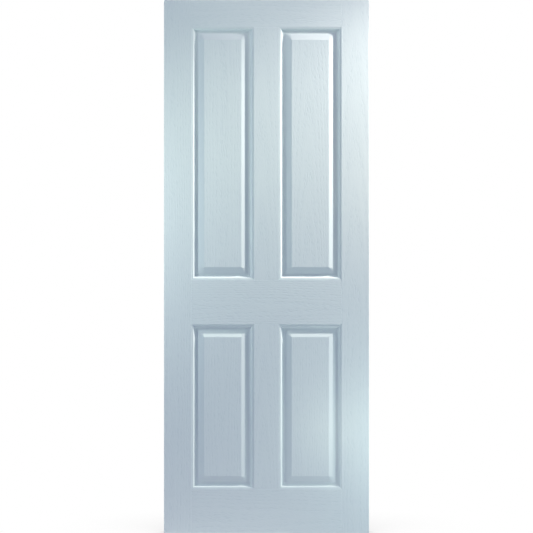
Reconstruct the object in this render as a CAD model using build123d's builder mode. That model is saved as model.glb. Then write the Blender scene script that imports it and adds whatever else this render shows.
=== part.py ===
"""A moulded four-panel internal door leaf.

The leaf is a flat hollow box. Two pressed fibreboard skins carry the look of a framed door: stiles,
rails and a muntin around four raised panels. Behind them a softwood frame of two stiles and two rails
is stapled at its corners, a lock block stands at mid-height against each stile, and an expanded paper
honeycomb keeps the skins apart. The honeycomb is crushed where the skins are pressed in.

Millimetres. The origin is the centre of the bottom edge. +X runs to the right, +Z up, and the front
skin faces -Y. The leaf is the same seen from either face, and the same left and right.
"""

import os
from math import atan, cos, sin, sqrt, tan

from build123d import *

# The leaf
leaf_width = 762.0
leaf_height = 1981.0
leaf_thickness = 35.0
skin_thickness = 3.2

# The framed look pressed into each skin, as widths seen on the face
stile_face = 102.0
muntin_face = 93.0
top_rail_face = 101.0
lock_rail_face = 166.0
bottom_rail_face = 164.0
lower_panel_height = 611.0

# The moulding round each panel, from its outline inwards and from the face down
step_depth = 1.0
step_draft = 30.0
ledge_width = 3.0
ogee_width = 14.0
groove_depth = 9.0
groove_width = 5.5
bevel_width = 24.5
bevel_foot_radius = 3.0
field_edge_radius = 6.0

# The fine line pressed in where a stile meets a rail, or a rail meets the muntin
joint_line_width = 1.6
joint_line_depth = 0.4
joint_line_draft = 45.0

# The softwood frame
stile_timber = 32.0
top_rail_timber = 35.0
bottom_rail_timber = 45.0
vent_diameter = 8.0
vent_spacing = 400.0
lock_block_width = 70.0
lock_block_height = 400.0
lock_centre_height = 990.0

# The paper honeycomb
cell_across_flats = 112.0
paper_thickness = 0.6
paper_end_gap = 1.5
glue_line = 0.3
crush_run = 6.0

# The wire staples
staple_crown = 25.0
staple_leg = 12.0
wire_thickness = 1.2
wire_width = 1.6
staple_point = 2.0
staple_fit = 0.05
staples_a_joint = 2
staples_a_block = 3

# Sizes that follow from those above
half_thickness = leaf_thickness / 2
timber_thickness = leaf_thickness - 2 * skin_thickness
panel_width = (leaf_width - 2 * stile_face - muntin_face) / 2
panel_centre = (muntin_face + panel_width) / 2
lower_panel_top = bottom_rail_face + lower_panel_height
upper_panel_bottom = lower_panel_top + lock_rail_face
upper_panel_top = leaf_height - top_rail_face
upper_panel_height = upper_panel_top - upper_panel_bottom
stile_inside = leaf_width / 2 - stile_timber
block_inside = stile_inside - lock_block_width
lock_block_bottom = lock_centre_height - lock_block_height / 2
lock_block_top = lock_centre_height + lock_block_height / 2

# Where the moulding's parts start, as distances in from the panel's outline
ogee_start = ledge_width
groove_start = ogee_start + ogee_width
bevel_foot = groove_start + groove_width
field_edge = bevel_foot + bevel_width

# The ogee is two equal arcs that meet at its steepest point
ogee_drop = groove_depth - step_depth
ogee_slope = 2 * atan(ogee_drop / ogee_width)
ogee_middle = (ogee_start + ogee_width / 2, step_depth + ogee_drop / 2)
ogee_radius = 0.97 * ogee_width / 2 / sin(ogee_slope)
bevel_slope = atan(ogee_drop / bevel_width)
smallest_radius = 0.4
overlap = 0.5

face_plane = Plane.XZ.offset(half_thickness)


def panel_outlines():
    """The four panels as (centre x, centre z, width, height)."""
    rows = (
        ((bottom_rail_face + lower_panel_top) / 2, lower_panel_height),
        ((upper_panel_bottom + upper_panel_top) / 2, upper_panel_height),
    )
    return [(side * panel_centre, z, panel_width, height) for z, height in rows for side in (-1, 1)]


def moulding_section(wall):
    """The hollow of the moulding as (outline points, corner radii), for the surface that lies
    `wall` behind the visible one. Points are (distance in from the panel's outline, depth)."""
    level = step_depth + wall
    floor = groove_depth + wall
    middle_in = ogee_middle[0] - wall * sin(ogee_slope)
    middle_down = ogee_middle[1] + wall * cos(ogee_slope)
    ogee_top = middle_in + (level - middle_down) / tan(ogee_slope)
    ogee_foot = middle_in + (floor - middle_down) / tan(ogee_slope)
    shift = wall * tan(bevel_slope / 2)
    points = [
        (ogee_start - overlap, level),
        (ogee_top, level),
        (ogee_foot, floor),
        (bevel_foot + shift, floor),
        (field_edge + shift, level),
        (field_edge + shift + field_edge_radius, level),
    ]
    radii = [
        max(ogee_radius - wall, smallest_radius),
        ogee_radius + wall,
        bevel_foot_radius + wall,
        max(field_edge_radius - wall, smallest_radius),
    ]
    return points, radii


def crush_section(wall):
    """The same hollow in straight lines, as the crushed paper follows it. It starts `crush_run` outside the
    moulding's hidden surface, so the paper stays clear of the curves."""
    level = step_depth + wall
    floor = groove_depth + wall
    points = [
        (ogee_start - crush_run, level),
        (ogee_start, floor),
        (bevel_foot + crush_run, floor),
        (field_edge + crush_run, level),
    ]
    return points, [0, 0]


def sunk_board(wall, section):
    """Half of the leaf's thickness, from the surface `wall` behind the visible face to the mid-plane, with
    the four panels sunk into it."""
    points, radii = section(wall)
    with BuildPart() as board:
        with BuildSketch(face_plane.offset(-wall)):
            with Locations((0, leaf_height / 2)):
                Rectangle(leaf_width, leaf_height)
        extrude(amount=-(half_thickness - wall))
        for x, z, width, height in panel_outlines():
            with BuildSketch(face_plane.offset(-wall)):
                with Locations((x, z)):
                    Rectangle(width, height)
            extrude(amount=-step_depth, taper=step_draft, mode=Mode.SUBTRACT)
            left = x - width / 2
            with BuildSketch(Plane(origin=(left, -half_thickness, z), x_dir=(1, 0, 0), z_dir=(0, 0, 1))):
                with BuildLine():
                    hollow = FilletPolyline(*points, radius=radii)
                    lid = wall - overlap
                    Polyline(hollow @ 1, (points[-1][0], lid), (points[0][0], lid), hollow @ 0)
                make_face()
            with BuildLine(Plane.XZ.offset(half_thickness)) as outline:
                right, top, bottom = x + width / 2, z + height / 2, z - height / 2
                Polyline((left, z), (left, top), (right, top), (right, bottom), (left, bottom), (left, z))
            sweep(path=outline.wires()[0], transition=Transition.RIGHT, mode=Mode.SUBTRACT)
    return board.part


def joint_lines():
    """Where the joint lines run, as (centre x, centre z, width, height)."""
    rails = (
        (0, bottom_rail_face),
        (lower_panel_top, upper_panel_bottom),
        (upper_panel_top, leaf_height),
    )
    edge = leaf_width / 2 - stile_face
    upright = [
        (side * edge, (low + high) / 2, joint_line_width, high - low)
        for low, high in rails
        for side in (-1, 1)
    ]
    heights = (bottom_rail_face, lower_panel_top, upper_panel_bottom, upper_panel_top)
    level = [(0, z, muntin_face, joint_line_width) for z in heights]
    return upright + level


def make_front_skin():
    """One pressed fibreboard skin of even thickness, with its joint lines."""
    with BuildPart() as skin:
        add(sunk_board(0, moulding_section))
        add(sunk_board(skin_thickness, moulding_section), mode=Mode.SUBTRACT)
        with BuildSketch(face_plane):
            for x, z, width, height in joint_lines():
                with Locations((x, z)):
                    Rectangle(width, height)
        extrude(amount=-joint_line_depth, taper=joint_line_draft, mode=Mode.SUBTRACT)
    return skin.part


def make_staple(joint_x, face_side, z, fit=0):
    """A wire staple across the joint at `joint_x`, its crown flush with the timber's front (-1) or back (1)
    and its legs driven in. A `fit` gives the seat that it leaves in the wood."""
    outer_half = staple_crown / 2
    inner_half = outer_half - wire_thickness
    crown = timber_thickness / 2
    under_crown = crown - wire_thickness
    tip = crown - staple_leg
    right_half = [
        (0, crown),
        (outer_half, crown),
        (outer_half, tip),
        (inner_half, tip + staple_point),
        (inner_half, under_crown),
        (0, under_crown),
    ]
    with BuildPart() as staple:
        with BuildSketch(Plane.XY.offset(z - wire_width / 2 - fit)):
            with BuildLine():
                Polyline(*[(joint_x + x, face_side * y) for x, y in right_half], close=True)
            make_face()
            mirror(about=Plane.YZ.offset(joint_x))
            if fit:
                offset(amount=fit, kind=Kind.INTERSECTION)
        extrude(amount=wire_width + 2 * fit)
    return staple.part


def even_heights(low, high, count):
    """`count` heights spread evenly between two others, half a pitch in from each end."""
    pitch = (high - low) / count
    return [low + pitch * (i + 0.5) for i in range(count)]


def staple_places():
    """Each group of staples by name, as (joint x, face side, z) places."""
    joints = {
        "top": even_heights(leaf_height - top_rail_timber, leaf_height, staples_a_joint),
        "bottom": even_heights(0, bottom_rail_timber, staples_a_joint),
        "block": even_heights(lock_block_bottom, lock_block_top, staples_a_block),
    }
    hands = {"left": -stile_inside, "right": stile_inside}
    return {
        f"staples_{joint}_{hand}": [(x, face_side, z) for z in heights for face_side in (-1, 1)]
        for joint, heights in joints.items()
        for hand, x in hands.items()
    }


def staple_seats(*groups):
    """The seats that some groups of staples leave in the timber."""
    places = staple_places()
    return [make_staple(*place, staple_fit) for group in groups for place in places[group]]


def make_timber(x_low, x_high, z_low, z_high, seats, vents=()):
    """A length of planed softwood between two x and two z values, with the staples' seats in it and an
    upright vent at each x in `vents`."""
    with BuildPart() as timber:
        with BuildSketch(Plane.XY.offset(z_low)):
            with Locations(((x_low + x_high) / 2, 0)):
                Rectangle(x_high - x_low, timber_thickness)
        extrude(amount=z_high - z_low)
        if vents:
            with Locations(*[(x, 0, z_high) for x in vents]):
                Hole(radius=vent_diameter / 2)
        add(seats, mode=Mode.SUBTRACT)
    return timber.part


def make_core_space():
    """The room for the paper between the two skins, less a glue line on each."""
    wall = skin_thickness + glue_line
    with BuildPart() as space:
        add(sunk_board(wall, crush_section))
        mirror(about=Plane.XZ)
    return space.part


def cell_outline(pitch, height):
    """The hole of one cell, for columns `pitch` apart and cells `height` high, less the paper round it."""
    lean = sqrt((pitch / 3) ** 2 + (height / 2) ** 2)
    tip = 2 * pitch / 3 - paper_thickness * lean / height
    top = (height - paper_thickness) / 2
    shoulder = tip - top * (pitch / 3) / (height / 2)
    return [(tip, 0), (shoulder, top), (-shoulder, top), (-tip, 0), (-shoulder, -top), (shoulder, -top)]


def make_paper_core(x_half, z_low, z_high, space):
    """Honeycomb between two heights, `x_half` wide to each side. It is stretched until both sides cut a
    column of cells in half, and crushed to fit its space."""
    left, low = -x_half + paper_end_gap, z_low + paper_end_gap
    width, height = -2 * left, z_high - z_low - 2 * paper_end_gap
    columns = max(round(width / (cell_across_flats * sqrt(3) / 2)), 1)
    rows = max(round(height / cell_across_flats), 1)
    pitch, cell_height = width / columns, height / rows
    cells = [
        (left + pitch * column, low + cell_height * (row + (0.75 if column % 2 else 0.25)))
        for column in range(columns + 1)
        for row in range(-1, rows + 1)
    ]
    with BuildPart() as core:
        with BuildSketch(face_plane):
            with Locations((0, low + height / 2)):
                Rectangle(width, height)
            with Locations(*cells):
                Polygon(*cell_outline(pitch, cell_height), mode=Mode.SUBTRACT)
        extrude(amount=-leaf_thickness, clean=False)
        add(space, mode=Mode.INTERSECT)
    return core.part


def write(part, name):
    """Labels a finished piece and writes it under its name."""
    part.label = name
    export_step(part, f"parts/{name}.step")


def write_skins():
    """The two faces of the leaf."""
    front = make_front_skin()
    write(front, "front_skin")
    write(mirror(front, about=Plane.XZ), "back_skin")


def write_frame():
    """The softwood frame and its lock blocks."""
    edge = leaf_width / 2
    block = (lock_block_bottom, lock_block_top)
    for hand, side in (("left", -1), ("right", 1)):
        stile_seats = staple_seats(f"staples_top_{hand}", f"staples_bottom_{hand}", f"staples_block_{hand}")
        across_stile = sorted((side * edge, side * stile_inside))
        write(make_timber(*across_stile, 0, leaf_height, stile_seats), f"{hand}_stile")
        block_seats = staple_seats(f"staples_block_{hand}")
        across_block = sorted((side * stile_inside, side * block_inside))
        write(make_timber(*across_block, *block, block_seats), f"{hand}_lock_block")
    vents = (-vent_spacing / 2, vent_spacing / 2)
    top_seats = staple_seats("staples_top_left", "staples_top_right")
    top = (leaf_height - top_rail_timber, leaf_height)
    write(make_timber(-stile_inside, stile_inside, *top, top_seats, vents), "top_rail")
    bottom_seats = staple_seats("staples_bottom_left", "staples_bottom_right")
    bottom = (0, bottom_rail_timber)
    write(make_timber(-stile_inside, stile_inside, *bottom, bottom_seats, vents), "bottom_rail")


def write_staples():
    """One node for each group of staples."""
    for name, places in staple_places().items():
        write(Compound(children=[make_staple(*place) for place in places]), name)


def write_core():
    """The honeycomb below, between and above the lock blocks."""
    space = make_core_space()
    write(make_paper_core(stile_inside, bottom_rail_timber, lock_block_bottom, space), "lower_paper_core")
    write(make_paper_core(block_inside, lock_block_bottom, lock_block_top, space), "middle_paper_core")
    rail = leaf_height - top_rail_timber
    write(make_paper_core(stile_inside, lock_block_top, rail, space), "upper_paper_core")


os.makedirs("parts", exist_ok=True)
write_skins()
write_frame()
write_staples()
write_core()
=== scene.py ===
"""Looks of a moulded four-panel door leaf.

Each face is one pressed fibreboard skin, under satin paint, with a woodgrain pressed into it. The edges show
what the leaf is made of: finger-jointed softwood between the two brown fibreboard rims.
"""

import logging
import math
from dataclasses import dataclass, field
from enum import Enum

import bpy
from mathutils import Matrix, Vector


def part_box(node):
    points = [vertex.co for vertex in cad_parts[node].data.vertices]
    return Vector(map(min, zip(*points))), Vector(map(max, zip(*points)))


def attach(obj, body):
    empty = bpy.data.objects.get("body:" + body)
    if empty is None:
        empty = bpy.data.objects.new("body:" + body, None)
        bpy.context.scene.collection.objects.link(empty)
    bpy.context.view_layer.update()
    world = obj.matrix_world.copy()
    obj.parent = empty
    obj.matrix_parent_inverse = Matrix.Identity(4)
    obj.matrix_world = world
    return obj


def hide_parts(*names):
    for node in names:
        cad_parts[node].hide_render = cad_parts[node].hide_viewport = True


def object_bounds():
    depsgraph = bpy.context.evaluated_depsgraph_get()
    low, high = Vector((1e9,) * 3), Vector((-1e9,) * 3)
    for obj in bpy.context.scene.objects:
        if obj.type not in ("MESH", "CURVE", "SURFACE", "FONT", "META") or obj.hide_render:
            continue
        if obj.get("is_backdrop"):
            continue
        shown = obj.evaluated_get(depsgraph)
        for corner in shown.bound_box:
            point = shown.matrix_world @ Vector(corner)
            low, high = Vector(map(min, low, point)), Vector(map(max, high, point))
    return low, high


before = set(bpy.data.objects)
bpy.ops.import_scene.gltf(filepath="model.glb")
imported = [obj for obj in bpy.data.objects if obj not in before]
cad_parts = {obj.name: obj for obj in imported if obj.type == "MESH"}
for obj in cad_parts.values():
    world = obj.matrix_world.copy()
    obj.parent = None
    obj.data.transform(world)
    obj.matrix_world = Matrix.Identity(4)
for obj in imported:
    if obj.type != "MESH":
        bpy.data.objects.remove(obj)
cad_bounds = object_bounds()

log = logging.getLogger("door_leaf")

MM = 0.001
TOUCH = 0.01 * MM
GRAIN_MARKS = ("grain_level", "grain_middle", "grain_seed", "moulding")
SOFT_WHITE = (1.0, 0.98, 0.84)


def linear(colour: str) -> tuple[float, float, float, float]:
    """Turns an sRGB hex colour into the linear values that a shader takes.

    Args:
        colour: Six hex digits, with or without a leading hash.

    Returns:
        Linear red, green, blue, and an alpha of 1.
    """
    digits = colour.lstrip("#")
    shares = [int(digits[i:i + 2], 16) / 255 for i in (0, 2, 4)]
    red, green, blue = (s / 12.92 if s <= 0.04045 else ((s + 0.055) / 1.055) ** 2.4 for s in shares)
    return red, green, blue, 1.0


def add_node(tree: bpy.types.NodeTree, kind: str, inputs: dict | None = None, **settings) -> bpy.types.Node:
    """Adds one node to a tree.

    Args:
        tree: The tree that gets the node.
        kind: The node's type name.
        inputs: What goes into its sockets, by name or index: a value, or an output socket to link from.
        **settings: The node's own properties.

    Returns:
        The new node.
    """
    node = tree.nodes.new(kind)
    for name, value in settings.items():
        setattr(node, name, value)
    for name, value in (inputs or {}).items():
        if isinstance(value, bpy.types.NodeSocket):
            tree.links.new(value, node.inputs[name])
        else:
            node.inputs[name].default_value = value
    return node


def add_formula(tree: bpy.types.NodeTree, known: dict, steps: tuple) -> dict:
    """Adds a formula to a tree as one Math node a step.

    Args:
        tree: The tree that gets the formula.
        known: Sockets and numbers by name, that the steps may use. Each step's result joins it.
        steps: Rows of (result's name, Math operation, operands). An operand is a name in known or a number.

    Returns:
        known, with every result in it.
    """
    for result, operation, *operands in steps:
        values = {i: known[o] if isinstance(o, str) else o for i, o in enumerate(operands)}
        known[result] = add_node(tree, "ShaderNodeMath", values, operation=operation, label=result).outputs[0]
    return known


def new_material(name: str) -> tuple[bpy.types.Material, bpy.types.NodeTree]:
    """Makes a material with nothing in it but its output.

    Args:
        name: The material's name.

    Returns:
        The material and its node tree.
    """
    material = bpy.data.materials.new(name)
    material.use_nodes = True
    tree = material.node_tree
    tree.nodes.clear()
    tree.nodes.new("ShaderNodeOutputMaterial")
    return material, tree


def set_surface(tree: bpy.types.NodeTree, shader: bpy.types.NodeSocket) -> None:
    """Links a shader to a material's output.

    Args:
        tree: The material's tree.
        shader: The shader's output socket.
    """
    output = next(n for n in tree.nodes if n.type == "OUTPUT_MATERIAL")
    tree.links.new(shader, output.inputs["Surface"])


@dataclass(frozen=True)
class SatinPaint:
    """Water-based satin paint, sprayed in the factory over fibreboard with a pressed woodgrain.

    To the eye it is one even pale blue-white with a soft sheen. Fine streaks and arches along the grain of
    each member, with short pores in them, show where light grazes the face, and the colour is painted a
    little
    darker where the pressed grain sinks: painted shade in its pores and hollows. Real pores are half a
    millimetre wide: these are drawn wider, or the photo's scale would hide them.
    """

    colour: str = "#D4E0E5"
    # Painted shade: the colour given to the low places of the pressed grain.
    grain_hollow_shade: str = "#CBD9DF"
    roughness: float = 0.42
    member_shift: float = 310 * MM
    sway: float = 22 * MM
    sway_width: float = 90 * MM
    sway_length: float = 240 * MM
    streak_width: float = 4.2 * MM
    streak_length: float = 26 * MM
    streak_share: float = 0.5
    pore_width: float = 3.4 * MM
    pore_length: float = 15 * MM
    pore_start: float = 0.5
    pore_steepness: float = 5.0
    pore_share: float = 0.45
    ring_width: float = 8 * MM
    ring_share: float = 0.16
    base_height: float = 0.2
    pith_wander: float = 12 * MM
    pith_depth: float = 34 * MM
    pith_tilt: float = 0.035
    moulding_plainness: float = 0.65
    grain_depth: float = 0.32 * MM
    spray_size: float = 9 * MM
    spray_depth: float = 0.012 * MM

    def material(self) -> bpy.types.Material:
        """Builds the material. It reads the face attributes that the press leaves.

        Returns:
            The paint.
        """
        material, tree = new_material("satin_paint_on_pressed_fibreboard")
        place = add_node(tree, "ShaderNodeTexCoord").outputs["Object"]
        axes = add_node(tree, "ShaderNodeSeparateXYZ", {0: place})
        known = {"x": axes.outputs["X"], "z": axes.outputs["Z"]}
        for name in GRAIN_MARKS:
            known[name] = add_node(tree, "ShaderNodeAttribute", attribute_name=name).outputs["Fac"]
        self._board_place(tree, known)
        self._figure(tree, known)
        spray = add_node(tree, "ShaderNodeTexNoise", {
            "Vector": place, "Scale": 1 / self.spray_size, "Detail": 2.0})
        spray_bump = add_node(tree, "ShaderNodeBump", {
            "Strength": 1.0, "Distance": self.spray_depth, "Height": spray.outputs["Fac"]})
        grain_bump = add_node(tree, "ShaderNodeBump", {
            "Strength": 1.0, "Distance": self.grain_depth, "Height": known["height"],
            "Normal": spray_bump.outputs[0]})
        # Painted shade: the colour turns darker where the pressed grain's height is low, in its pores and
        # hollows.
        tint = add_node(tree, "ShaderNodeMix", {
            0: known["height"], 6: linear(self.grain_hollow_shade), 7: linear(self.colour)}, data_type="RGBA")
        shader = add_node(tree, "ShaderNodeBsdfPrincipled", {
            "Base Color": tint.outputs[2], "Roughness": self.roughness, "Normal": grain_bump.outputs[0]})
        set_surface(tree, shader.outputs[0])
        return material

    def _board_place(self, tree: bpy.types.NodeTree, known: dict) -> None:
        """Adds a point's place on its member: along the grain, and across it from the member's middle.

        Args:
            tree: The material's tree.
            known: Its named sockets.
        """
        add_formula(tree, known, (
            ("turn", "SUBTRACT", "z", "x"),
            ("swing", "MULTIPLY", "turn", "grain_level"),
            ("across_leaf", "ADD", "x", "swing"),
            ("along_leaf", "SUBTRACT", "z", "swing"),
            ("across", "SUBTRACT", "across_leaf", "grain_middle"),
            ("along", "MULTIPLY_ADD", "grain_seed", self.member_shift, "along_leaf"),
        ))
        known["sway"] = self._noise(tree, known, "across", self.sway_width, self.sway_length, 1.0)
        add_formula(tree, known, (("wavy_across", "MULTIPLY_ADD", "sway", self.sway, "across"),))

    def _figure(self, tree: bpy.types.NodeTree, known: dict) -> None:
        """Adds the pressed grain's height: streaks, growth rings and the pores that gather between them.

        Args:
            tree: The material's tree.
            known: Its named sockets.
        """
        known["streak"] = self._noise(tree, known, "wavy_across", self.streak_width, self.streak_length, 2.0)
        known["pore"] = self._noise(tree, known, "wavy_across", self.pore_width, self.pore_length, 0.0)
        add_formula(tree, known, (
            ("seed_turn", "MULTIPLY", "grain_seed", 2.39),
            ("wander", "SINE", "seed_turn"),
            ("from_pith", "MULTIPLY_ADD", "wander", self.pith_wander, "wavy_across"),
            ("pith_sign", "COSINE", "seed_turn"),
            ("pith_tilt", "MULTIPLY", "pith_sign", self.pith_tilt),
            ("pith_depth", "MULTIPLY_ADD", "along", "pith_tilt", self.pith_depth),
            ("from_pith_square", "MULTIPLY", "from_pith", "from_pith"),
            ("square", "MULTIPLY_ADD", "pith_depth", "pith_depth", "from_pith_square"),
            ("radius", "SQRT", "square"),
            ("ring_count", "DIVIDE", "radius", self.ring_width),
            ("ring_turn", "PINGPONG", "ring_count", 0.5),
            ("ring", "MULTIPLY", "ring_turn", 2.0),
            ("pore_over", "SUBTRACT", "pore", self.pore_start),
            ("pore_open", "MAXIMUM", "pore_over", 0.0),
            ("pore_steep", "MULTIPLY", "pore_open", self.pore_steepness),
            ("pore_cut", "MINIMUM", "pore_steep", 1.0),
            ("early", "SUBTRACT", 1.15, "ring"),
            ("pore_depth", "MULTIPLY", "pore_cut", "early"),
            ("streak_part", "MULTIPLY_ADD", "streak", self.streak_share, self.base_height),
            ("ring_part", "MULTIPLY_ADD", "ring", self.ring_share, "streak_part"),
            ("figure", "MULTIPLY_ADD", "pore_depth", -self.pore_share, "ring_part"),
            ("strength", "MULTIPLY_ADD", "moulding", -self.moulding_plainness, 1.0),
            ("height", "MULTIPLY", "figure", "strength"),
        ))

    def _noise(self, tree: bpy.types.NodeTree, known: dict, across: str, width: float, length: float,
               detail: float) -> bpy.types.NodeSocket:
        """Adds noise drawn out along the grain.

        Args:
            tree: The material's tree.
            known: Its named sockets.
            across: The name of the place across the grain.
            width: The features' width in metres.
            length: Their length in metres.
            detail: The noise's octaves.

        Returns:
            The noise, from 0 to 1.
        """
        place = add_node(tree, "ShaderNodeCombineXYZ", {
            0: known[across], 1: known["along"], 2: known["grain_seed"]})
        scaled = add_node(tree, "ShaderNodeMapping", {0: place.outputs[0], 3: (1 / width, 1 / length, 1.7)})
        return add_node(tree, "ShaderNodeTexNoise", {
            "Vector": scaled.outputs[0], "Scale": 1.0, "Detail": detail}).outputs["Fac"]


@dataclass(frozen=True)
class Fibreboard:
    """Pressed fibreboard, bare at its sawn rim: an even warm brown with a fine felted speckle."""

    colour: str = "#8E6B48"
    fleck: str = "#6F5136"
    roughness: float = 0.85
    fibre_size: float = 1.2 * MM
    felt_depth: float = 0.1 * MM

    def material(self) -> bpy.types.Material:
        """Builds the material.

        Returns:
            The bare board.
        """
        material, tree = new_material("bare_pressed_fibreboard")
        place = add_node(tree, "ShaderNodeTexCoord").outputs["Object"]
        scaled = add_node(tree, "ShaderNodeMapping", {0: place, 3: (1 / self.fibre_size,) * 3})
        felt = add_node(tree, "ShaderNodeTexNoise", {
            "Vector": scaled.outputs[0], "Scale": 1.0, "Detail": 3.0})
        tint = add_node(tree, "ShaderNodeMix", {
            0: felt.outputs["Fac"], 6: linear(self.fleck), 7: linear(self.colour)}, data_type="RGBA")
        bump = add_node(tree, "ShaderNodeBump", {
            "Strength": 1.0, "Distance": self.felt_depth, "Height": felt.outputs["Fac"]})
        shader = add_node(tree, "ShaderNodeBsdfPrincipled", {
            "Base Color": tint.outputs[2], "Roughness": self.roughness, "Normal": bump.outputs[0]})
        set_surface(tree, shader.outputs[0])
        return material


class Length(Enum):
    """Which way a timber's length runs, as the index of its axis."""

    LEVEL = 0
    UPRIGHT = 2


@dataclass(frozen=True)
class FingerJointedSoftwood:
    """Planed redwood, glued up from short blocks with finger joints, as hidden door timbers are.

    To the eye it is matt pale yellow to pinkish brown, with darker growth rings that run along the length and
    show as arcs on the ends. The tone changes at each zigzag joint.
    """

    early_wood: str = "#CDAF82"
    late_wood: str = "#B08758"
    glue: str = "#6E4B2E"
    roughness: float = 0.7
    ring_width: float = 2.4 * MM
    block_length: float = 430 * MM
    finger_length: float = 11 * MM
    finger_pitch: float = 4 * MM
    glue_width: float = 0.35 * MM
    first_block: float = 0.37
    pith_range: tuple[float, float] = (-45 * MM, 45 * MM)
    pith_inward: tuple[float, float] = (-10 * MM, 27 * MM)
    bend: float = 8 * MM
    bend_width: float = 60 * MM
    bend_length: float = 350 * MM
    late_sharpness: float = 2.2
    tone_change: float = 0.16
    fibre_width: float = 1.2 * MM
    fibre_length: float = 30 * MM
    fibre_depth: float = 0.12 * MM

    def material(self, length: Length) -> bpy.types.Material:
        """Builds the material for timbers whose length runs one way.

        Args:
            length: The way of the timbers' length.

        Returns:
            The bare timber.
        """
        material, tree = new_material("finger_jointed_redwood_" + length.name.lower())
        place = add_node(tree, "ShaderNodeTexCoord").outputs["Object"]
        axes = add_node(tree, "ShaderNodeSeparateXYZ", {0: place}).outputs
        width_axis = 2 - length.value
        low, high = (corner[width_axis] for corner in cad_bounds)
        known = {"along": axes[length.value], "width_place": axes[width_axis], "through": axes[1]}
        add_formula(tree, known, (
            ("from_middle", "SUBTRACT", "width_place", (low + high) / 2),
            ("fold", "ABSOLUTE", "from_middle"),
            ("across", "SUBTRACT", (high - low) / 2, "fold"),
            ("finger_share", "DIVIDE", "through", self.finger_pitch),
            ("finger_turn", "PINGPONG", "finger_share", 0.5),
            ("finger", "MULTIPLY", "finger_turn", 2 * self.finger_length),
            ("along_finger", "ADD", "along", "finger"),
            ("block_share", "MULTIPLY_ADD", "along_finger", 1 / self.block_length, self.first_block),
            ("block", "FLOOR", "block_share"),
            ("block_rest", "FRACT", "block_share"),
            ("from_joint", "MULTIPLY", "block_rest", self.block_length),
            ("in_glue", "LESS_THAN", "from_joint", self.glue_width),
            ("side_of", "SIGN", "from_middle"),
            ("block_seed", "MULTIPLY_ADD", "side_of", 7.0, "block"),
        ))
        chance = add_node(tree, "ShaderNodeTexWhiteNoise", {"W": known["block_seed"]}, noise_dimensions="1D")
        known["chance"] = chance.outputs["Value"]
        bend_scale = self._scale(length, self.bend_width, self.bend_length)
        bend_place = add_node(tree, "ShaderNodeMapping", {0: place, 3: bend_scale})
        bend = add_node(tree, "ShaderNodeTexNoise", {
            "Vector": bend_place.outputs[0], "Scale": 1.0, "Detail": 1.0})
        known["bend"] = bend.outputs["Fac"]
        back, front = self.pith_range
        outer, inner = self.pith_inward
        add_formula(tree, known, (
            ("bend_by", "MULTIPLY_ADD", "bend", self.bend, -self.bend / 2),
            ("pith_through", "MULTIPLY_ADD", "chance", front - back, back),
            ("through_pith", "SUBTRACT", "through", "pith_through"),
            ("pith_across", "MULTIPLY_ADD", "chance", inner - outer, outer),
            ("across_bent", "ADD", "across", "bend_by"),
            ("across_pith", "SUBTRACT", "across_bent", "pith_across"),
            ("through_square", "MULTIPLY", "through_pith", "through_pith"),
            ("square", "MULTIPLY_ADD", "across_pith", "across_pith", "through_square"),
            ("radius", "SQRT", "square"),
            ("rings", "DIVIDE", "radius", self.ring_width),
            ("ring", "FRACT", "rings"),
            ("late", "POWER", "ring", self.late_sharpness),
            ("tone", "MULTIPLY_ADD", "chance", self.tone_change, 1 - self.tone_change),
        ))
        wood = add_node(tree, "ShaderNodeMix", {
            0: known["late"], 6: linear(self.early_wood), 7: linear(self.late_wood)}, data_type="RGBA")
        glued = add_node(tree, "ShaderNodeMix", {
            0: known["in_glue"], 6: wood.outputs[2], 7: linear(self.glue)}, data_type="RGBA")
        toned = add_node(tree, "ShaderNodeHueSaturation", {"Value": known["tone"], "Color": glued.outputs[2]})
        fibre_scale = self._scale(length, self.fibre_width, self.fibre_length)
        fibre_place = add_node(tree, "ShaderNodeMapping", {0: place, 3: fibre_scale})
        fibre = add_node(tree, "ShaderNodeTexNoise", {
            "Vector": fibre_place.outputs[0], "Scale": 1.0, "Detail": 2.0})
        bump = add_node(tree, "ShaderNodeBump", {
            "Strength": 1.0, "Distance": self.fibre_depth, "Height": fibre.outputs["Fac"]})
        shader = add_node(tree, "ShaderNodeBsdfPrincipled", {
            "Base Color": toned.outputs[0], "Roughness": self.roughness, "Normal": bump.outputs[0]})
        set_surface(tree, shader.outputs[0])
        return material

    def _scale(self, length: Length, across: float, along: float) -> tuple[float, ...]:
        """Turns the size of a pattern's features into a scale on each axis.

        Args:
            length: The way of the timber's length.
            across: The features' width in metres.
            along: The features' length in metres.

        Returns:
            Features a metre along x, y and z.
        """
        return tuple(1 / along if axis == length.value else 1 / across for axis in range(3))


@dataclass(frozen=True)
class KraftPaper:
    """Brown kraft paper, glued and expanded into a honeycomb: matt, with faint fibre mottling."""

    colour: str = "#B08D62"
    mottle: str = "#96744C"
    roughness: float = 0.9
    mottle_size: float = 4 * MM

    def material(self) -> bpy.types.Material:
        """Builds the material.

        Returns:
            The paper.
        """
        material, tree = new_material("expanded_kraft_paper")
        place = add_node(tree, "ShaderNodeTexCoord").outputs["Object"]
        scaled = add_node(tree, "ShaderNodeMapping", {0: place, 3: (1 / self.mottle_size,) * 3})
        cloud = add_node(tree, "ShaderNodeTexNoise", {
            "Vector": scaled.outputs[0], "Scale": 1.0, "Detail": 3.0})
        tint = add_node(tree, "ShaderNodeMix", {
            0: cloud.outputs["Fac"], 6: linear(self.mottle), 7: linear(self.colour)}, data_type="RGBA")
        shader = add_node(tree, "ShaderNodeBsdfPrincipled", {
            "Base Color": tint.outputs[2], "Roughness": self.roughness})
        set_surface(tree, shader.outputs[0])
        return material


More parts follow.
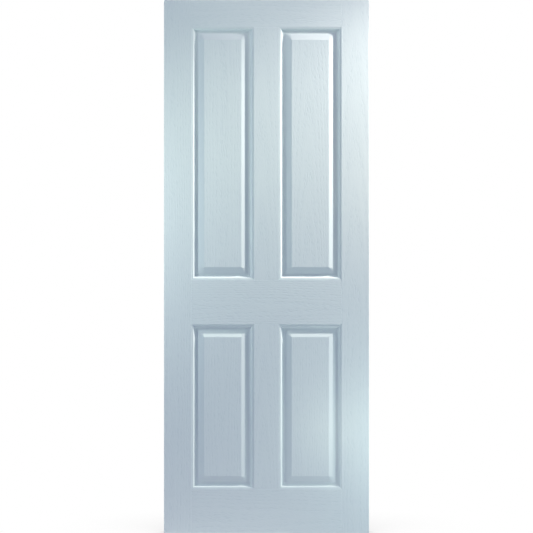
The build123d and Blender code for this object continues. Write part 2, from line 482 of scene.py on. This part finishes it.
@dataclass(frozen=True)
class GalvanisedWire:
    """Flattened steel wire with a drawn zinc coat: bright grey, with a soft sheen and dull patches."""

    colour: str = "#B9BCBE"
    bright: float = 0.28
    dull: float = 0.5
    patch_size: float = 3 * MM

    def material(self) -> bpy.types.Material:
        """Builds the material.

        Returns:
            The wire.
        """
        material, tree = new_material("galvanised_staple_wire")
        place = add_node(tree, "ShaderNodeTexCoord").outputs["Object"]
        scaled = add_node(tree, "ShaderNodeMapping", {0: place, 3: (1 / self.patch_size,) * 3})
        patch = add_node(tree, "ShaderNodeTexNoise", {
            "Vector": scaled.outputs[0], "Scale": 1.0, "Detail": 2.0})
        known = {"patch": patch.outputs["Fac"]}
        add_formula(tree, known, (("rough", "MULTIPLY_ADD", "patch", self.dull - self.bright, self.bright),))
        shader = add_node(tree, "ShaderNodeBsdfPrincipled", {
            "Base Color": linear(self.colour), "Metallic": 1.0, "Roughness": known["rough"]})
        set_surface(tree, shader.outputs[0])
        return material


@dataclass(frozen=True)
class Moulding:
    """The pressed moulding round a panel: a small step, an ogee, a groove and a long bevel to the field."""

    step: float = 1.0 * MM
    step_run: float = 0.577 * MM
    ledge: float = 3.0 * MM
    ogee: float = 14.0 * MM
    groove_depth: float = 9.0 * MM
    groove: float = 5.5 * MM
    bevel: float = 24.5 * MM
    arc_parts: int = 9

    @property
    def drop(self) -> float:
        """Depth of the groove below the field."""
        return self.groove_depth - self.step

    @property
    def slope(self) -> float:
        """Angle of the ogee where it is steepest."""
        return 2 * math.atan(self.drop / self.ogee)

    @property
    def radius(self) -> float:
        """Radius of the ogee's two arcs."""
        return self.ogee / 2 / math.sin(self.slope)

    @property
    def lean(self) -> float:
        """Angle of the bevel."""
        return math.atan(self.drop / self.bevel)

    @property
    def bevel_foot(self) -> float:
        """Where the bevel starts, in from the panel's outline."""
        return self.ledge + self.ogee + self.groove

    @property
    def field_edge(self) -> float:
        """Where the bevel meets the field, in from the panel's outline."""
        return self.bevel_foot + self.bevel

    def stops(self) -> list[float]:
        """Says where the sheet needs a line of points to take the moulding's shape.

        Returns:
            Distances in from the panel's outline, in order.
        """
        angles = [self.slope * i / self.arc_parts for i in range(self.arc_parts + 1)]
        upper = [self.ledge + self.radius * math.sin(a) for a in angles]
        lower = [self.ledge + self.ogee - self.radius * math.sin(a) for a in reversed(angles[:-1])]
        foot = [self.bevel_foot + d * MM for d in (-0.8, -0.4, -0.2, 0, 0.2, 0.4, 0.8)]
        head = [self.field_edge + d * MM for d in (-1.8, -1.2, -0.6, 0, 0.6, 1.2, 1.8)]
        return [-0.4 * MM, 0.0, self.step_run, self.step_run + 0.4 * MM, *upper, *lower, *foot, *head]


@dataclass
class PressedSkin:
    """One face of the leaf: a sheet of fibreboard, pressed between two dies into stiles, rails and panels."""

    side: int
    node: str
    paint: bpy.types.Material
    board: bpy.types.Material
    moulding: Moulding = field(default_factory=Moulding)
    thickness: float = 3.2 * MM
    stile: float = 102 * MM
    muntin: float = 93 * MM
    top_rail: float = 101 * MM
    lock_rail: float = 166 * MM
    bottom_rail: float = 164 * MM
    lower_panel: float = 611 * MM
    line_width: float = 1.6 * MM
    line_depth: float = 0.4 * MM
    arris: float = 0.5 * MM
    closest_lines: float = 0.03 * MM
    sharp_edge: float = math.radians(28)
    foot_blend: float = 0.1 * MM
    edge_blend: float = 0.27 * MM

    def __post_init__(self) -> None:
        """Takes the leaf's outline from the CAD node."""
        low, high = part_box(self.node)
        self.half_width = high.x
        self.height = high.z
        self.face = low.y if self.side < 0 else high.y
        self.panel_inside = self.muntin / 2
        self.panel_outside = self.half_width - self.stile
        lower_top = self.bottom_rail + self.lower_panel
        self.panel_heights = (
            (self.bottom_rail, lower_top),
            (lower_top + self.lock_rail, self.height - self.top_rail),
        )

    def build(self) -> bpy.types.Object:
        """Presses the sheet into shape.

        Returns:
            The finished skin, at the origin.
        """
        sheet = self._sheet()
        sheet.materials.append(self.paint)
        sheet.materials.append(self.board)
        blank = bpy.data.objects.new(self.node + "_blank", sheet)
        bpy.context.scene.collection.objects.link(blank)
        press = blank.modifiers.new("press", "NODES")
        press.node_group = self._press_tree()
        self._set_inputs(press)
        graph = bpy.context.evaluated_depsgraph_get()
        mesh = bpy.data.meshes.new_from_object(blank.evaluated_get(graph), depsgraph=graph)
        bpy.data.objects.remove(blank)
        piece = bpy.data.objects.new("pressed_" + self.node, mesh)
        bpy.context.scene.collection.objects.link(piece)
        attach(piece, "root")
        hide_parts(self.node)
        return piece

    def _lines(self, bands: list[tuple[float, float]], ends: tuple[float, float], marks: list[float]
               ) -> list[float]:
        """Works out where the sheet needs lines across one direction.

        Args:
            bands: Each panel's low and high side.
            ends: The sheet's two ends.
            marks: The middles of the pressed joint lines.

        Returns:
            The lines' places, in order.
        """
        half, slope = self.line_width / 2, self.line_depth
        found = {ends[0], ends[0] + self.arris, ends[1] - self.arris, ends[1]}
        for low, high in bands:
            for stop in self.moulding.stops():
                found |= {low + stop, high - stop}
        for mark in marks:
            found |= {mark - half, mark - half + slope, mark + half - slope, mark + half}
        kept: list[float] = []
        for place in sorted(found):
            if not kept or place - kept[-1] > self.closest_lines:
                kept.append(place)
        return kept

    def _sheet(self) -> bpy.types.Mesh:
        """Makes the flat blank: two layers of points on the same lines, closed round the rim.

        Returns:
            A closed mesh whose points carry how far they lie behind the visible face, as the attribute wall.
        """
        outside, inside = self.panel_outside, self.panel_inside
        xs = self._lines([(-outside, -inside), (inside, outside)], (-self.half_width, self.half_width),
                         [-outside, outside])
        edges = [z for band in self.panel_heights for z in band]
        zs = self._lines(list(self.panel_heights), (0.0, self.height), edges)
        across, up = len(xs), len(zs)
        layer = across * up
        points, walls = [], []
        for wall in (0.0, self.thickness):
            points += [(x, self.face - self.side * wall, z) for z in zs for x in xs]
            walls += [wall] * layer
        faces = []
        for row in range(up - 1):
            for column in range(across - 1):
                a = row * across + column
                quad = (a, a + 1, a + 1 + across, a + across)
                back = tuple(i + layer for i in reversed(quad))
                faces += [quad, back]
        rim = list(range(across))
        rim += [r * across + across - 1 for r in range(1, up)]
        rim += [(up - 1) * across + c for c in range(across - 2, -1, -1)]
        rim += [r * across for r in range(up - 2, 0, -1)]
        faces += [(b, a, a + layer, b + layer) for a, b in zip(rim, rim[1:] + rim[:1])]
        if self.side > 0:
            faces = [tuple(reversed(f)) for f in faces]
        mesh = bpy.data.meshes.new(self.node + "_sheet")
        mesh.from_pydata(points, [], faces)
        mesh.attributes.new("wall", "FLOAT", "POINT").data.foreach_set("value", walls)
        return mesh

    def _sizes(self) -> dict[str, float]:
        """Names the press's sizes.

        Returns:
            Each input of the press and its value, in metres or radians.
        """
        m = self.moulding
        (low_a, high_a), (low_b, high_b) = self.panel_heights
        return {
            "Muntin Half": self.panel_inside, "Stile Inside": self.panel_outside,
            "Leaf Half": self.half_width, "Leaf Height": self.height,
            "Lower Low": low_a, "Lower High": high_a, "Upper Low": low_b, "Upper High": high_b,
            "Step": m.step, "Step Run": m.step_run, "Ledge": m.ledge, "Ogee End": m.ledge + m.ogee,
            "Groove Depth": m.groove_depth, "Radius": m.radius, "Middle": m.ledge + m.ogee / 2,
            "Steep Sine": math.sin(m.slope), "Bevel Foot": m.bevel_foot, "Bevel Fall": math.tan(m.lean),
            "Bevel Stretch": 1 / math.cos(m.lean), "Field Edge": m.field_edge,
            "Line Half": self.line_width / 2, "Line Depth": self.line_depth, "Arris": self.arris,
            "Inward": float(-self.side),
        }

    def _set_inputs(self, press: bpy.types.NodesModifier) -> None:
        """Gives the press its sizes by their sockets' identifiers.

        Args:
            press: The modifier.
        """
        sizes = self._sizes()
        for item in press.node_group.interface.items_tree:
            if item.item_type == "SOCKET" and item.in_out == "INPUT" and item.name in sizes:
                press[item.identifier] = sizes[item.name]
            elif item.item_type == "SOCKET" and item.name == "Paint":
                press[item.identifier] = self.paint
            elif item.item_type == "SOCKET" and item.name == "Board":
                press[item.identifier] = self.board

    def _press_tree(self) -> bpy.types.NodeTree:
        """Builds the press: it sinks each point of a flat sheet by the moulding's rule.

        Returns:
            The geometry node tree.
        """
        tree = bpy.data.node_groups.new("press", "GeometryNodeTree")
        tree.interface.new_socket("Sheet", in_out="INPUT", socket_type="NodeSocketGeometry")
        for name in self._sizes():
            tree.interface.new_socket(name, in_out="INPUT", socket_type="NodeSocketFloat")
        for name in ("Paint", "Board"):
            tree.interface.new_socket(name, in_out="INPUT", socket_type="NodeSocketMaterial")
        tree.interface.new_socket("Skin", in_out="OUTPUT", socket_type="NodeSocketGeometry")
        source = add_node(tree, "NodeGroupInput")
        place = add_node(tree, "GeometryNodeInputPosition")
        axes = add_node(tree, "ShaderNodeSeparateXYZ", {0: place.outputs[0]})
        wall = add_node(tree, "GeometryNodeInputNamedAttribute", {"Name": "wall"}, data_type="FLOAT")
        known = {name: source.outputs[name] for name in self._sizes()}
        known |= {"x": axes.outputs["X"], "z": axes.outputs["Z"], "wall": wall.outputs["Attribute"]}
        self._panel_distance(tree, known)
        self._moulding_depth(tree, known)
        self._line_depth(tree, known)
        add_formula(tree, known, (
            ("depth", "MAXIMUM", "sunk", "line"),
            ("depth_with_arris", "ADD", "depth", "eased"),
            ("push", "MULTIPLY", "depth_with_arris", "Inward"),
        ))
        offset = add_node(tree, "ShaderNodeCombineXYZ", {"Y": known["push"]})
        marked = self._mark_grain(tree, source.outputs["Sheet"], known)
        sunk = add_node(tree, "GeometryNodeSetPosition", {"Geometry": marked, "Offset": offset.outputs[0]})
        cut = add_node(tree, "GeometryNodeTriangulate", {"Mesh": sunk.outputs[0]},
                       quad_method="LONGEST_DIAGONAL")
        angle = add_node(tree, "GeometryNodeInputMeshEdgeAngle")
        blunt = add_node(tree, "FunctionNodeCompare", {
            0: angle.outputs["Unsigned Angle"], 1: self.sharp_edge}, data_type="FLOAT", operation="LESS_THAN")
        faces_smooth = add_node(tree, "GeometryNodeSetShadeSmooth", {
            "Geometry": cut.outputs[0], "Shade Smooth": True}, domain="FACE")
        smooth = add_node(tree, "GeometryNodeSetShadeSmooth", {
            "Geometry": faces_smooth.outputs[0], "Shade Smooth": blunt.outputs[0]}, domain="EDGE")
        painted = add_node(tree, "FunctionNodeCompare", {
            0: known["wall"], 1: TOUCH}, data_type="FLOAT", operation="LESS_THAN")
        bare = add_node(tree, "GeometryNodeSetMaterial", {
            "Geometry": smooth.outputs[0], "Material": source.outputs["Board"]})
        dressed = add_node(tree, "GeometryNodeSetMaterial", {
            "Geometry": bare.outputs[0], "Selection": painted.outputs[0],
            "Material": source.outputs["Paint"]})
        real = add_node(tree, "GeometryNodeRealizeInstances", {"Geometry": dressed.outputs[0]})
        add_node(tree, "NodeGroupOutput", {"Skin": real.outputs[0]})
        return tree

    def _panel_distance(self, tree: bpy.types.NodeTree, known: dict) -> None:
        """Adds how far a point lies inside a panel's outline, negative outside it.

        Args:
            tree: The press.
            known: Its named sockets.
        """
        add_formula(tree, known, (
            ("fold", "ABSOLUTE", "x"),
            ("from_muntin", "SUBTRACT", "fold", "Muntin Half"),
            ("from_stile", "SUBTRACT", "Stile Inside", "fold"),
            ("in_across", "MINIMUM", "from_muntin", "from_stile"),
            ("above_lower", "SUBTRACT", "z", "Lower Low"),
            ("below_lower", "SUBTRACT", "Lower High", "z"),
            ("in_lower", "MINIMUM", "above_lower", "below_lower"),
            ("above_upper", "SUBTRACT", "z", "Upper Low"),
            ("below_upper", "SUBTRACT", "Upper High", "z"),
            ("in_upper", "MINIMUM", "above_upper", "below_upper"),
            ("in_height", "MAXIMUM", "in_lower", "in_upper"),
            ("inside", "MINIMUM", "in_across", "in_height"),
        ))

    def _moulding_depth(self, tree: bpy.types.NodeTree, known: dict) -> None:
        """Adds the moulding's depth at a point, for the surface that lies wall behind the visible one.

        Args:
            tree: The press.
            known: Its named sockets.
        """
        add_formula(tree, known, (
            ("step_share", "DIVIDE", "inside", "Step Run"),
            ("step_high", "MINIMUM", "step_share", 1.0),
            ("step_part", "MAXIMUM", "step_high", 0.0),
            ("step_depth", "MULTIPLY", "step_part", "Step"),
            ("upper_radius", "SUBTRACT", "Radius", "wall"),
            ("lower_radius", "ADD", "Radius", "wall"),
            ("middle_shift", "MULTIPLY", "wall", "Steep Sine"),
            ("middle", "SUBTRACT", "Middle", "middle_shift"),
            ("past_ledge", "SUBTRACT", "inside", "Ledge"),
            ("past_ledge_up", "MAXIMUM", "past_ledge", 0.0),
            ("upper_run", "MINIMUM", "past_ledge_up", "upper_radius"),
            ("upper_run_square", "MULTIPLY", "upper_run", "upper_run"),
            ("upper_square", "MULTIPLY", "upper_radius", "upper_radius"),
            ("upper_rest", "SUBTRACT", "upper_square", "upper_run_square"),
            ("upper_rise", "SQRT", "upper_rest"),
            ("upper_fall", "SUBTRACT", "upper_radius", "upper_rise"),
            ("upper_arc", "ADD", "upper_fall", "Step"),
            ("before_end", "SUBTRACT", "Ogee End", "inside"),
            ("before_end_up", "MAXIMUM", "before_end", 0.0),
            ("lower_run", "MINIMUM", "before_end_up", "lower_radius"),
            ("lower_run_square", "MULTIPLY", "lower_run", "lower_run"),
            ("lower_square", "MULTIPLY", "lower_radius", "lower_radius"),
            ("lower_rest", "SUBTRACT", "lower_square", "lower_run_square"),
            ("lower_rise", "SQRT", "lower_rest"),
            ("lower_height", "SUBTRACT", "lower_radius", "lower_rise"),
            ("lower_arc", "SUBTRACT", "Groove Depth", "lower_height"),
            ("past_middle", "GREATER_THAN", "inside", "middle"),
            ("arc_change", "SUBTRACT", "lower_arc", "upper_arc"),
            ("ogee_depth", "MULTIPLY_ADD", "arc_change", "past_middle", "upper_arc"),
            ("past_ledge_start", "GREATER_THAN", "inside", "Ledge"),
            ("edge_change", "SUBTRACT", "ogee_depth", "step_depth"),
            ("edge_depth", "MULTIPLY_ADD", "edge_change", "past_ledge_start", "step_depth"),
            ("up_bevel", "SUBTRACT", "inside", "Bevel Foot"),
            ("bevel_rise", "MULTIPLY", "up_bevel", "Bevel Fall"),
            ("wall_rise", "MULTIPLY_ADD", "wall", "Bevel Stretch", "Groove Depth"),
            ("wall_drop", "SUBTRACT", "wall_rise", "wall"),
            ("bevel_plane", "SUBTRACT", "wall_drop", "bevel_rise"),
            ("bevel_foot", "SMOOTH_MIN", "bevel_plane", "Groove Depth", self.foot_blend),
            ("bevel_depth", "SMOOTH_MAX", "bevel_foot", "Step", self.edge_blend),
            ("past_groove", "GREATER_THAN", "inside", "Ogee End"),
            ("bevel_change", "SUBTRACT", "bevel_depth", "edge_depth"),
            ("sunk", "MULTIPLY_ADD", "bevel_change", "past_groove", "edge_depth"),
        ))

    def _line_depth(self, tree: bpy.types.NodeTree, known: dict) -> None:
        """Adds the depth of the pressed joint lines and of the eased outer arris.

        Args:
            tree: The press.
            known: Its named sockets.
        """
        add_formula(tree, known, (
            ("visible", "LESS_THAN", "wall", TOUCH),
            ("on_rail", "LESS_THAN", "in_height", TOUCH),
            ("on_muntin", "LESS_THAN", "from_muntin", TOUCH),
            ("from_upright", "ABSOLUTE", "from_stile"),
            ("from_level", "ABSOLUTE", "in_height"),
            ("upright_left", "SUBTRACT", "Line Half", "from_upright"),
            ("level_left", "SUBTRACT", "Line Half", "from_level"),
            ("upright_line", "MULTIPLY", "upright_left", "on_rail"),
            ("level_line", "MULTIPLY", "level_left", "on_muntin"),
            ("either_line", "MAXIMUM", "upright_line", "level_line"),
            ("line_low", "MAXIMUM", "either_line", 0.0),
            ("line_deep", "MINIMUM", "line_low", "Line Depth"),
            ("line", "MULTIPLY", "line_deep", "visible"),
            ("to_side", "SUBTRACT", "Leaf Half", "fold"),
            ("to_top", "SUBTRACT", "Leaf Height", "z"),
            ("to_end", "MINIMUM", "to_top", "z"),
            ("to_edge", "MINIMUM", "to_side", "to_end"),
            ("arris_left", "SUBTRACT", "Arris", "to_edge"),
            ("arris_cut", "MAXIMUM", "arris_left", 0.0),
            ("eased", "MULTIPLY", "arris_cut", "visible"),
        ))

    def _mark_grain(self, tree: bpy.types.NodeTree, sheet: bpy.types.NodeSocket, known: dict
                    ) -> bpy.types.NodeSocket:
        """Adds what the paint reads on each face: the way of the grain, the member, and if it is moulding.

        The seeds only have to differ from member to member.

        Args:
            tree: The press.
            sheet: The flat sheet.
            known: The press's named sockets.

        Returns:
            The marked sheet.
        """
        add_formula(tree, known, (
            ("off_stile", "GREATER_THAN", "from_stile", 0.0),
            ("off_panel_height", "LESS_THAN", "in_height", 0.0),
            ("rail", "MULTIPLY", "off_stile", "off_panel_height"),
            ("in_panel", "GREATER_THAN", "inside", 0.0),
            ("before_field", "LESS_THAN", "inside", "Field Edge"),
            ("moulding", "MULTIPLY", "in_panel", "before_field"),
            ("end_side", "LESS_THAN", "in_height", "in_across"),
            ("end_moulding", "MULTIPLY", "end_side", "moulding"),
            ("grain_level", "MAXIMUM", "rail", "end_moulding"),
            ("sign", "SIGN", "x"),
            ("on_panels", "GREATER_THAN", "from_muntin", 0.0),
            ("above_lock", "GREATER_THAN", "z", "Lower High"),
            ("above_top", "GREATER_THAN", "z", "Upper High"),
        ))
        add_formula(tree, known, (
            ("panel_sum", "ADD", "Muntin Half", "Stile Inside"),
            ("stile_more", "SUBTRACT", "Leaf Half", "Muntin Half"),
            ("on_stile", "SUBTRACT", 1.0, "off_stile"),
            ("panel_part", "MULTIPLY", "panel_sum", "on_panels"),
            ("upright_sum", "MULTIPLY_ADD", "stile_more", "on_stile", "panel_part"),
            ("upright_half", "MULTIPLY", "upright_sum", 0.5),
            ("upright_middle", "MULTIPLY", "upright_half", "sign"),
            ("lock_rise", "SUBTRACT", "Lower High", "Lower Low"),
            ("lock_sum", "ADD", "lock_rise", "Upper Low"),
            ("lock_more", "MULTIPLY", "lock_sum", 0.5),
            ("lock_part", "MULTIPLY", "lock_more", "above_lock"),
            ("top_rise", "SUBTRACT", "Upper High", "Lower High"),
            ("top_gap", "SUBTRACT", "Leaf Height", "Upper Low"),
            ("top_sum", "ADD", "top_rise", "top_gap"),
            ("top_more", "MULTIPLY", "top_sum", 0.5),
            ("top_part", "MULTIPLY", "top_more", "above_top"),
            ("lock_middle", "MULTIPLY_ADD", "Lower Low", 0.5, "lock_part"),
            ("level_middle", "ADD", "lock_middle", "top_part"),
            ("middle_change", "SUBTRACT", "level_middle", "upright_middle"),
            ("grain_middle", "MULTIPLY_ADD", "middle_change", "grain_level", "upright_middle"),
        ))
        add_formula(tree, known, (
            ("hand", "MULTIPLY", "sign", "on_panels"),
            ("not_rail", "SUBTRACT", 1.0, "rail"),
            ("hand_seed", "MULTIPLY", "hand", "not_rail"),
            ("stile_seed", "MULTIPLY_ADD", "hand_seed", "on_stile", "hand_seed"),
            ("storey_seed", "MULTIPLY_ADD", "above_lock", 3.0, "stile_seed"),
            ("top_seed", "MULTIPLY_ADD", "above_top", 5.0, "storey_seed"),
            ("rail_seed", "MULTIPLY_ADD", "rail", 11.0, "top_seed"),
            ("grain_seed", "MULTIPLY_ADD", "moulding", 17.0, "rail_seed"),
        ))
        marked = sheet
        for name in GRAIN_MARKS:
            marked = add_node(tree, "GeometryNodeStoreNamedAttribute", {
                "Geometry": marked, "Name": name, "Value": known[name]}, data_type="FLOAT", domain="FACE"
            ).outputs[0]
        return marked


@dataclass
class Inside:
    """What the skins hide: the softwood frame and lock blocks, the paper core, and the staples."""

    stiles: tuple[str, ...] = ("left_stile", "right_stile")
    rails: tuple[str, ...] = ("top_rail", "bottom_rail")
    blocks: tuple[str, ...] = ("left_lock_block", "right_lock_block")
    cores: tuple[str, ...] = ("lower_paper_core", "middle_paper_core", "upper_paper_core")
    staples: tuple[str, ...] = (
        "staples_top_left", "staples_top_right", "staples_bottom_left", "staples_bottom_right",
        "staples_block_left", "staples_block_right")

    def dress(self) -> None:
        """Gives each hidden CAD node its material."""
        wood = FingerJointedSoftwood()
        upright, level = wood.material(Length.UPRIGHT), wood.material(Length.LEVEL)
        groups = (
            (self.stiles + self.blocks, upright), (self.rails, level),
            (self.cores, KraftPaper().material()), (self.staples, GalvanisedWire().material()),
        )
        for names, material in groups:
            for name in names:
                self._set(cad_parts[name], material)
                log.info("%s: %s", name, material.name)

    def _set(self, node: bpy.types.Object, material: bpy.types.Material) -> None:
        """Puts one material on a whole CAD node.

        Args:
            node: The node.
            material: What it is made of.
        """
        if not node.data.materials:
            node.data.materials.append(material)
        for index in range(len(node.data.materials)):
            node.data.materials[index] = material


@dataclass(frozen=True)
class Lamp:
    """One small lamp: a bulb that shines all round, or a spot if it has a beam.

    A lamp without glare leaves no reflection of itself in the satin paint.
    """

    name: str
    place: tuple[float, float, float]
    watts: float
    colour: tuple[float, float, float]
    radius: float
    aim: tuple[float, float, float] = (0.0, 0.0, 1.0)
    beam: float | None = None
    glare: bool = True

    def hang(self, scene: bpy.types.Scene, lit: bpy.types.Collection) -> None:
        """Adds the lamp to a scene.

        Args:
            scene: The scene that gets the lamp.
            lit: What the lamp lights. Nothing else gets its light.
        """
        data = bpy.data.lights.new(self.name, "SPOT" if self.beam else "POINT")
        data.energy = self.watts
        data.color = self.colour
        data.shadow_soft_size = self.radius
        if self.beam:
            data.spot_size = self.beam
            data.spot_blend = 1.0
        lamp = bpy.data.objects.new(self.name, data)
        lamp.location = self.place
        lamp.rotation_euler = (Vector(self.place) - Vector(self.aim)).to_track_quat("Z", "Y").to_euler()
        lamp.light_linking.receiver_collection = lit
        lamp.visible_glossy = self.glare
        scene.collection.objects.link(lamp)


@dataclass
class Studio:
    """A white room with a pale floor, a cool even light, and small lamps low over the leaf's face.

    The face's lamps graze it, and would burn out the edges that they meet head on. So they light the face and
    the floor only, and soft lamps behind, beside and above light the rest.
    """

    face: bpy.types.Object
    white: str = "#FFFFFF"
    lens: float = 100.0
    sensor: float = 36.0
    floor_size: float = 30.0
    # Painted shadow on the floor: how much of its seen white the ambient occlusion takes away, and how far
    # from the leaf it reaches.
    shadow: float = 0.45
    shadow_reach: float = 0.5
    sky: tuple[float, float, float] = (0.0, 0.01, 0.41)
    sky_strength: float = 0.5
    lamps: tuple[Lamp, ...] = (
        Lamp("key", (1.5, -0.25, 2.3), 338.0, (1.0, 0.91, 0.80), 0.03, (0.3, 0.0, 1.35), math.radians(60),
             glare=False),
        Lamp("left", (-1.03, -0.3, 1.2), 21.6, (0.95, 1.0, 0.91), 0.04, glare=False),
        Lamp("low_right", (0.75, -0.25, 0.36), 7.1, (0.93, 1.0, 0.88), 0.05, glare=False),
        Lamp("near_right", (0.25, -0.22, 0.38), 0.3, (0.99, 1.0, 0.75), 0.1),
        Lamp("middle_right", (0.6, -0.3, 1.3), 0.85, (1.0, 0.82, 0.52), 0.1),
        Lamp("over", (0.3, -0.8, 2.8), 12.8, (1.0, 0.925, 0.835), 0.12),
        Lamp("top", (-0.1, -0.35, 2.5), 5.2, (1.0, 0.925, 0.835), 0.06),
        Lamp("front", (-0.2, -1.6, 1.6), 24.6, (0.81, 1.0, 0.65), 0.3),
    )
    soft_lamps: tuple[Lamp, ...] = (
        Lamp("behind_left", (-1.3, 1.5, 2.2), 125.0, SOFT_WHITE, 0.35),
        Lamp("behind_right", (1.2, 2.2, 1.0), 85.0, SOFT_WHITE, 0.5),
        Lamp("beside_right", (2.4, -0.1, 1.5), 115.0, SOFT_WHITE, 0.1),
        Lamp("beside_left", (-2.4, -0.1, 1.5), 115.0, SOFT_WHITE, 0.1),
        Lamp("above", (0.0, -0.1, 4.2), 140.0, SOFT_WHITE, 0.1),
    )

    def build(self) -> None:
        """Sets the camera, floor, world and lamps."""
        scene = bpy.context.scene
        scene.view_settings.view_transform = "Standard"
        rest = [o for o in scene.objects if o.type == "MESH" and o is not self.face]
        self._camera(scene)
        floor = self._floor(scene)
        self._world(scene)
        self._light(scene, "lit_face", [self.face, floor], self.lamps)
        self._light(scene, "lit_rest", rest, self.soft_lamps)

    def _light(self, scene: bpy.types.Scene, name: str, pieces: list[bpy.types.Object],
               lamps: tuple[Lamp, ...]) -> None:
        """Hangs lamps that light some pieces and nothing else.

        Args:
            scene: The scene that gets the lamps.
            name: The name of the group that the pieces form.
            pieces: The pieces.
            lamps: The lamps.
        """
        group = bpy.data.collections.new(name)
        for piece in pieces:
            group.objects.link(piece)
        for lamp in lamps:
            lamp.hang(scene, group)

    def _camera(self, scene: bpy.types.Scene) -> None:
        """Stands the camera square to the leaf, so that the leaf's height fills the picture.

        Args:
            scene: The scene that gets the camera.
        """
        low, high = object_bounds()
        away = (high.z - low.z) * self.lens / self.sensor
        data = bpy.data.cameras.new("camera")
        data.type = "PERSP"
        data.lens = self.lens
        data.sensor_width = self.sensor
        data.clip_end = 100.0
        camera = bpy.data.objects.new("camera", data)
        camera.location = ((low.x + high.x) / 2, low.y - away, (low.z + high.z) / 2)
        camera.rotation_euler = (math.pi / 2, 0.0, 0.0)
        scene.collection.objects.link(camera)
        scene.camera = camera

    def _seen(self, tree: bpy.types.NodeTree) -> bpy.types.NodeSocket:
        """Adds a switch that is 1 where the camera, a reflection or a clear pane looks.

        Args:
            tree: A material's or the world's tree.

        Returns:
            The switch's output.
        """
        path = add_node(tree, "ShaderNodeLightPath")
        known = {"camera": path.outputs["Is Camera Ray"], "glossy": path.outputs["Is Glossy Ray"],
                 "clear": path.outputs["Is Transmission Ray"]}
        add_formula(tree, known, (
            ("shiny", "MAXIMUM", "glossy", "clear"),
            ("seen", "MAXIMUM", "camera", "shiny"),
        ))
        return known["seen"]

    def _floor(self, scene: bpy.types.Scene) -> bpy.types.Object:
        """Lays a matt white floor, seen as plain white, with a painted shadow where the leaf stands: ambient
        occlusion darkens the seen white near the leaf.

        Args:
            scene: The scene that gets the floor.

        Returns:
            The floor.
        """
        half = self.floor_size / 2
        mesh = bpy.data.meshes.new("floor")
        corners = [(-half, -half, 0), (half, -half, 0), (half, half, 0), (-half, half, 0)]
        mesh.from_pydata(corners, [], [(0, 1, 2, 3)])
        floor = bpy.data.objects.new("floor", mesh)
        scene.collection.objects.link(floor)
        material, tree = new_material("matt_white_floor")
        matt = add_node(tree, "ShaderNodeBsdfDiffuse", {"Color": (0.8, 0.8, 0.8, 1)})
        # Painted shadow: the seen white is darkened by ambient occlusion near the leaf, not by a cast shadow.
        open_sky = add_node(tree, "ShaderNodeAmbientOcclusion", {"Distance": self.shadow_reach}, samples=8)
        known = {"open": open_sky.outputs["AO"]}
        add_formula(tree, known, (("painted_shadow_white", "MULTIPLY_ADD", "open", self.shadow, 1 - self.shadow),))
        painted_shadow_white = add_node(tree, "ShaderNodeEmission", {"Color": linear(self.white), "Strength": known["painted_shadow_white"]})
        mixed = add_node(tree, "ShaderNodeMixShader", {
            0: self._seen(tree), 1: matt.outputs[0], 2: painted_shadow_white.outputs[0]})
        set_surface(tree, mixed.outputs[0])
        mesh.materials.append(material)
        floor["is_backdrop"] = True
        return floor

    def _world(self, scene: bpy.types.Scene) -> None:
        """Makes the room: white where it is seen, and a cool even light on everything else.

        Args:
            scene: The scene that gets the world.
        """
        world = bpy.data.worlds.new("room")
        world.use_nodes = True
        tree = world.node_tree
        tree.nodes.clear()
        light = add_node(tree, "ShaderNodeBackground", {
            "Color": (*self.sky, 1), "Strength": self.sky_strength})
        white = add_node(tree, "ShaderNodeBackground", {"Color": linear(self.white), "Strength": 1.0})
        mixed = add_node(tree, "ShaderNodeMixShader", {
            0: self._seen(tree), 1: light.outputs[0], 2: white.outputs[0]})
        add_node(tree, "ShaderNodeOutputWorld", {"Surface": mixed.outputs[0]})
        scene.world = world


def main() -> None:
    """Builds the leaf's looks and the studio round it."""
    logging.basicConfig(level=logging.INFO, format="%(message)s")
    paint = SatinPaint().material()
    board = Fibreboard().material()
    front = PressedSkin(-1, "front_skin", paint, board).build()
    back = PressedSkin(1, "back_skin", paint, board).build()
    for skin in (front, back):
        log.info("%s: %d triangles", skin.name, len(skin.data.polygons))
    Inside().dress()
    Studio(front).build()
    log.info("studio: camera, floor, world and lamps")


if __name__ == "__main__":
    main()
